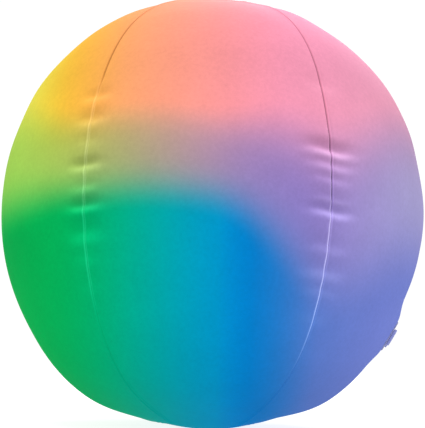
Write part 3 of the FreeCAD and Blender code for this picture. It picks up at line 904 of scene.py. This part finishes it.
def add_panel(number, material):
    """One printed cloth panel with its turned-in edges, its puckers and, on panel 2, the valve's opening."""
    centre = SEAM_STEP * (number - 1)
    lengths = panel_rows()
    left = half_panel(turned(centre - SEAM_STEP / 2), 1, lengths)
    right = half_panel(turned(centre + SEAM_STEP / 2), -1, lengths)
    points, pale_and_painted_light = (join_halves(left[i], right[i]) for i in (0, 1))
    half_width = left[3][:, -1:, None] * np.array([1.0, 0.0])
    points = rest_on_floor(points, CAD_BOX[0].z, CAD_BOX[1].z + CAP_ROOM)
    faces = punch(points, grid_faces(*points.shape[:2]), VALVE_HOLE)
    panel = make_mesh(f"printed_panel_{number}", points, faces[:, ::-1].tolist(), material, pale_and_painted_light)
    add_cloth_map(panel, join_halves(left[2] - half_width, right[2] + half_width))
    remove_loose(panel)
    stand_in(panel, f"cover_panel_{number}")
    area = pattern_area(CAP_LENGTH, SEAM_ALLOWANCE)


def remove_loose(piece):
    """Deletes points that no face uses."""
    used = np.zeros(len(piece.data.vertices), bool)
    corner = np.zeros(len(piece.data.loops), np.int32)
    piece.data.loops.foreach_get("vertex_index", corner)
    used[corner] = True
    if used.all():
        return
    mesh = bmesh.new()
    mesh.from_mesh(piece.data)
    mesh.verts.ensure_lookup_table()
    bmesh.ops.delete(mesh, geom=[v for v in mesh.verts if not used[v.index]], context="VERTS")
    mesh.to_mesh(piece.data)
    mesh.free()


# a round end sheet: the length along the profile and the radius of its seam, its allowance, how deep it
# lies, how much deeper its edge may be, and the shares of the cloth edge's bend and of the lip that it has
RoundEnd = namedtuple("RoundEnd", "piece node slot length radius allowance depth lap_depth bend lip")
CLOTH_CAP = RoundEnd(
    piece="printed_cap", node="cover_cap", slot="cover_cloth", length=CAP_LENGTH, radius=CAP_RADIUS,
    allowance=CAP_ALLOWANCE, depth=0.0, lap_depth=CLOTH_DEPTH, bend=1.0, lip=1.0,
)
FILM_DISC = RoundEnd(
    piece="film_disc", node="bladder_disc", slot="bladder_film", length=DISC_LENGTH, radius=DISC_RADIUS,
    allowance=WELD_LAP, depth=FILM_DEPTH, lap_depth=LAP_DEPTH, bend=0.3, lip=0.0,
)
RINGS = 34
RING_SIDES = 180
POLE_GAP = 0.3 * MM  # how far from the pole the smallest ring is


def add_round_end(kind, end_name, top, material):
    """A round end sheet of the cover or the bladder with its turned-in edge."""
    edge = kind.length
    rings = np.concatenate([np.linspace(LENGTHS[-1] - POLE_GAP, edge + LIP[-1], RINGS), edge + LIP[::-1][1:]])
    under = edge + UNDER_ACROSS[::-1] * (kind.allowance / UNDER_ACROSS[0])
    lengths = np.concatenate([rings, under])
    outside = kind.lip * lip_relief(rings - edge)
    heights = np.concatenate([outside, -UNDER_DEPTH[::-1] * kind.bend]) - kind.depth
    longitude, length = np.meshgrid(np.linspace(-180, 180, RING_SIDES, endpoint=False), lengths)
    height = np.broadcast_to(heights[:, None], length.shape)
    points = ball_points(longitude, length if top else -length, height)[0]
    depth = kind.depth + np.where(np.arange(len(lengths)) < len(rings), 0, kind.lap_depth)[:, None]
    points = rest_on_floor(points, CAD_BOX[0].z + depth, CAD_BOX[1].z - depth)

    faces = grid_faces(len(lengths), RING_SIDES, closed=True)
    pole = len(lengths) * RING_SIDES
    fan = np.array([[i, (i + 1) % RING_SIDES, pole] for i in range(RING_SIDES)])
    if top:
        faces = faces[:, ::-1]
    else:
        fan = fan[:, ::-1]
    flat = np.concatenate([points.reshape(-1, 3), points[0].mean(axis=0)[None]])
    sheet = make_mesh(f"{kind.piece}_{end_name}", flat, faces.tolist() + fan.tolist(), material)
    add_cloth_map(sheet, flat[:, :2])
    stand_in(sheet, f"{kind.node}_{end_name}")


GORE_ROWS = 150
GORE_COLUMNS = 42
LAP_RISE = 0.35 * MM
# in widths of the lap: where its step is, and where the sheet is even again
LAP_EDGE = 1.05
LAP_FOOT = 1.15


def add_film_gore(number, material):
    """One gore of the bladder, a little below the cover, with its welded laps as a low step."""
    half = SEAM_STEP / 2
    lengths = np.linspace(DISC_LENGTH, -DISC_LENGTH, GORE_ROWS)
    lap = np.degrees(WELD_LAP / profile(tilt_at(lengths))[0])[:, None]
    edges = np.concatenate([np.full_like(lap, half), half - lap], axis=1)
    inner = np.linspace(-1, 1, GORE_COLUMNS) * (half - LAP_FOOT * lap)
    angle = np.concatenate([-edges, inner, edges[:, ::-1]], axis=1)
    longitude = turned(VALVE_LONGITUDE + SEAM_STEP * (number - 1) + angle)
    length = np.broadcast_to(lengths[:, None], longitude.shape)
    even = ball_points(longitude, length, np.zeros_like(longitude), broad=False)[0]
    calm = smooth(*VALVE_CALM, valve_distance(even))
    depth = VALVE_FLANGE_DEPTH + (FILM_DEPTH - VALVE_FLANGE_DEPTH) * calm
    height = np.where(np.abs(angle) > half - LAP_EDGE * lap, LAP_RISE, 0) - depth
    points = ball_points(longitude, length, height)[0]
    points = rest_on_floor(points, CAD_BOX[0].z + VALVE_FLANGE_DEPTH, CAD_BOX[1].z)
    faces = punch(points, grid_faces(*points.shape[:2]), BLADDER_HOLE)
    gore = make_mesh(f"film_gore_{number}", points, faces[:, ::-1].tolist(), material)
    remove_loose(gore)
    stand_in(gore, f"bladder_gore_{number}")
    pattern_area(DISC_LENGTH, 0)


STITCH = 3.0 * MM
THREAD_RADIUS = 0.18 * MM
THREAD_DEPTH = GROOVE_DEPTH + 0.75 * MM
THREAD_END = 2 * MM  # how far from a cap's seam the thread of a panel's seam ends
THREAD_FLOOR_GAP = 0.3 * MM
POINTS_PER_STITCH = 8
# how far a stitch goes to each side, and up and down
SEAM_SWAY = 0.4 * MM
CAP_SWAY = 0.45 * MM
STITCH_RISE = 0.22 * MM


def add_seam_stitches(number, seam, material):
    """The lockstitch of one panel seam: it dips from side to side through both layers in the groove."""
    end = CAP_LENGTH - THREAD_END
    length = np.linspace(end, -end, round(2 * end / STITCH) * POINTS_PER_STITCH)
    phase = 2 * math.pi * (end - length) / STITCH
    out, up = profile(tilt_at(length))
    latitude = np.degrees(np.arctan2(up, out))
    across = SEAM_SWAY * np.sin(phase) + drift(seam, latitude)
    height = fold_relief(seam, np.zeros_like(out), latitude) - THREAD_DEPTH
    height = height + STITCH_RISE * np.cos(2 * phase)
    path, outward = ball_points(seam + np.degrees(across / out), length, height)
    thread = strand(f"seam_stitches_{number}", path, outward, THREAD_RADIUS, material)
    stand_in(thread, f"panel_seam_thread_{number}")


def add_cap_stitches(end_name, top, material):
    """The lockstitch round an end cap."""
    count = round(2 * math.pi * CAP_RADIUS / STITCH) * POINTS_PER_STITCH
    longitude = np.linspace(-180, 180, count, endpoint=False)
    phase = 2 * math.pi * np.arange(count) / POINTS_PER_STITCH
    length = CAP_LENGTH + CAP_SWAY * np.sin(phase)
    height = STITCH_RISE * np.cos(2 * phase) - THREAD_DEPTH
    path, outward = ball_points(longitude, length if top else -length, height)
    path = rest_on_floor(path, CAD_BOX[0].z + THREAD_FLOOR_GAP, CAD_BOX[1].z)
    thread = strand(f"cap_stitches_{end_name}", path, outward, THREAD_RADIUS, material, closed=True)
    stand_in(thread, f"cap_seam_thread_{end_name}")


BINDING_TURNS = 76
POINTS_PER_TURN = 12
BINDING_SEED = 5
BINDING_UNEVENNESS = 0.06
BINDING_THREAD_RADIUS = 0.33 * MM
WIND_RADIUS = 0.85 * MM  # how far the thread winds round the cut edge
WIND_INSET = 0.25 * MM  # how far inside the opening's edge it winds


def add_bound_edge(material):
    """Overcast thread wound round the cut edge of the valve's opening."""
    axis = np.array(VALVE_AXIS)
    across = np.cross([0, 0, 1.0], axis)
    across /= np.linalg.norm(across)
    up = np.cross(axis, across)
    low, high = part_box("valve_opening_binding")
    around = np.linspace(0, 2 * math.pi, BINDING_TURNS * POINTS_PER_TURN, endpoint=False)
    wind = around * BINDING_TURNS
    spoke = np.cos(around)[:, None] * across + np.sin(around)[:, None] * up
    draw = np.random.default_rng(BINDING_SEED)
    uneven = 1 + BINDING_UNEVENNESS * np.repeat(draw.uniform(-1, 1, BINDING_TURNS), POINTS_PER_TURN)
    reach = VALVE_HOLE - WIND_INSET + WIND_RADIUS * uneven * np.cos(wind)
    rise = WIND_RADIUS * uneven * np.sin(wind)
    path = np.array((low + high) / 2) + spoke * reach[:, None] + axis * rise[:, None]
    outward = np.broadcast_to(axis, path.shape)
    thread = strand("bound_edge", path, outward, BINDING_THREAD_RADIUS, material, closed=True)
    stand_in(thread, "valve_opening_binding")


def dress(node, material):
    """Gives a CAD node that stays in sight its material."""
    piece = frame["nodes"][node]
    piece.data.materials.clear()
    piece.data.materials.append(material)


# ---- camera, light and floor ----

CAMERA_DISTANCE = 4.94 * RADIUS
CAMERA_YAW = math.radians(-1.1)
CAMERA_RISE = math.radians(7.6)
CAMERA_ROLL = math.radians(1.5)
CAMERA_SHIFT = 0.0028
LENS = 85.66
SENSOR = 36.0

WORLD_LIGHT = 0.85  # how brightly the world lights the ball
WORLD_SHOWN = 1.05  # how bright it looks
FLOOR_GLOW = 0.85
FLOOR_HALF = 8.0
FLOOR_DROP = 0.2 * MM  # how far below the ball the floor is, so that they don't share a plane


def add_camera():
    """Looks up at the ball from a low stand, a little off level."""
    turn = Matrix.Rotation(CAMERA_ROLL, 3, "Y") @ Matrix.Rotation(-CAMERA_RISE, 3, "X")
    turn = turn @ Matrix.Rotation(CAMERA_YAW, 3, "Z")
    back = turn.transposed()
    camera = bpy.data.objects.new("camera", bpy.data.cameras.new("camera"))
    camera.data.sensor_width = SENSOR
    camera.data.lens = LENS
    camera.data.shift_x = CAMERA_SHIFT
    place = Vector((0, 0, MIDDLE)) + back @ Vector((0, -CAMERA_DISTANCE, 0))
    right = back @ Vector((1, 0, 0))
    ahead = back @ Vector((0, 1, 0))
    above = back @ Vector((0, 0, 1))
    axes = Matrix((right, above, -ahead)).transposed()
    camera.matrix_world = Matrix.Translation(place) @ axes.to_4x4()
    bpy.context.scene.collection.objects.link(camera)
    bpy.context.scene.camera = camera


def add_area_light(name, place, width, power):
    """A square soft light that faces the ball."""
    light = bpy.data.lights.new(name, "AREA")
    light.size = width
    light.energy = power
    lamp = bpy.data.objects.new(name, light)
    lamp.location = place
    away = Vector((0, 0, MIDDLE)) - Vector(place)
    lamp.rotation_euler = away.to_track_quat("-Z", "Y").to_euler()
    bpy.context.scene.collection.objects.link(lamp)


def add_world():
    """White all round. It lights the ball less than it shows, so that the lamps can shape the cloth."""
    world = bpy.data.worlds.new("studio")
    world.use_nodes = True
    tree = world.node_tree
    background = tree.nodes["Background"]
    background.inputs["Color"].default_value = (1, 1, 1, 1)
    path = tree.nodes.new("ShaderNodeLightPath")
    strength = tree.nodes.new("ShaderNodeMapRange")
    strength.inputs["To Min"].default_value = WORLD_LIGHT
    strength.inputs["To Max"].default_value = WORLD_SHOWN
    tree.links.new(path.outputs["Is Camera Ray"], strength.inputs["Value"])
    tree.links.new(strength.outputs["Result"], background.inputs["Strength"])
    bpy.context.scene.world = world


def add_floor():
    """A white light table, so the ball throws hardly any shadow."""
    nodes = Nodes("light_table")
    nodes.shader.inputs["Base Color"].default_value = (0.3, 0.3, 0.3, 1)
    nodes.shader.inputs["Roughness"].default_value = 0.9
    nodes.shader.inputs["Specular IOR Level"].default_value = 0.0
    nodes.shader.inputs["Emission Color"].default_value = (1, 1, 1, 1)
    nodes.shader.inputs["Emission Strength"].default_value = FLOOR_GLOW
    corners = np.array([(-1, -1), (1, -1), (1, 1), (-1, 1)]) * FLOOR_HALF
    corners = np.concatenate([corners, np.full((4, 1), -FLOOR_DROP)], axis=1)
    floor = make_mesh("floor", corners, [[0, 1, 2, 3]], nodes.material)
    floor.visible_diffuse = False
    floor.visible_glossy = False


# ---- the build ----

add_camera()
add_world()
add_area_light("key", place=(-0.25, -1.0, 2.3), width=1.0, power=48)
add_area_light("back_fill", place=(0.4, 1.7, 1.9), width=1.2, power=44)
add_floor()

cloth = cloth_material()
thread = thread_material("sewing_thread", (0.20, 0.18, 0.26), twist=900.0)
binding = thread_material("binding_thread", (0.46, 0.49, 0.80), twist=700.0)
film = vinyl_material("bladder_film", (0.70, 0.74, 0.86), roughness=0.3, transmission=0.3)
vinyl = vinyl_material("valve_vinyl", (0.36, 0.40, 0.84), roughness=0.4)

for number, seam in enumerate((30, 90, 150, -150, -90, -30), start=1):
    add_panel(number, cloth)
    add_seam_stitches(number, seam, thread)
    add_film_gore(number, film)
for end_name, top in (("top", True), ("bottom", False)):
    add_round_end(CLOTH_CAP, end_name, top, cloth)
    add_round_end(FILM_DISC, end_name, top, film)
    add_cap_stitches(end_name, top, thread)
add_bound_edge(binding)
for node in ("valve_flange", "valve_stem", "valve_plug"):
    dress(node, vinyl)
dress("valve_flap", film)

bpy.context.scene.view_settings.view_transform = "Standard"
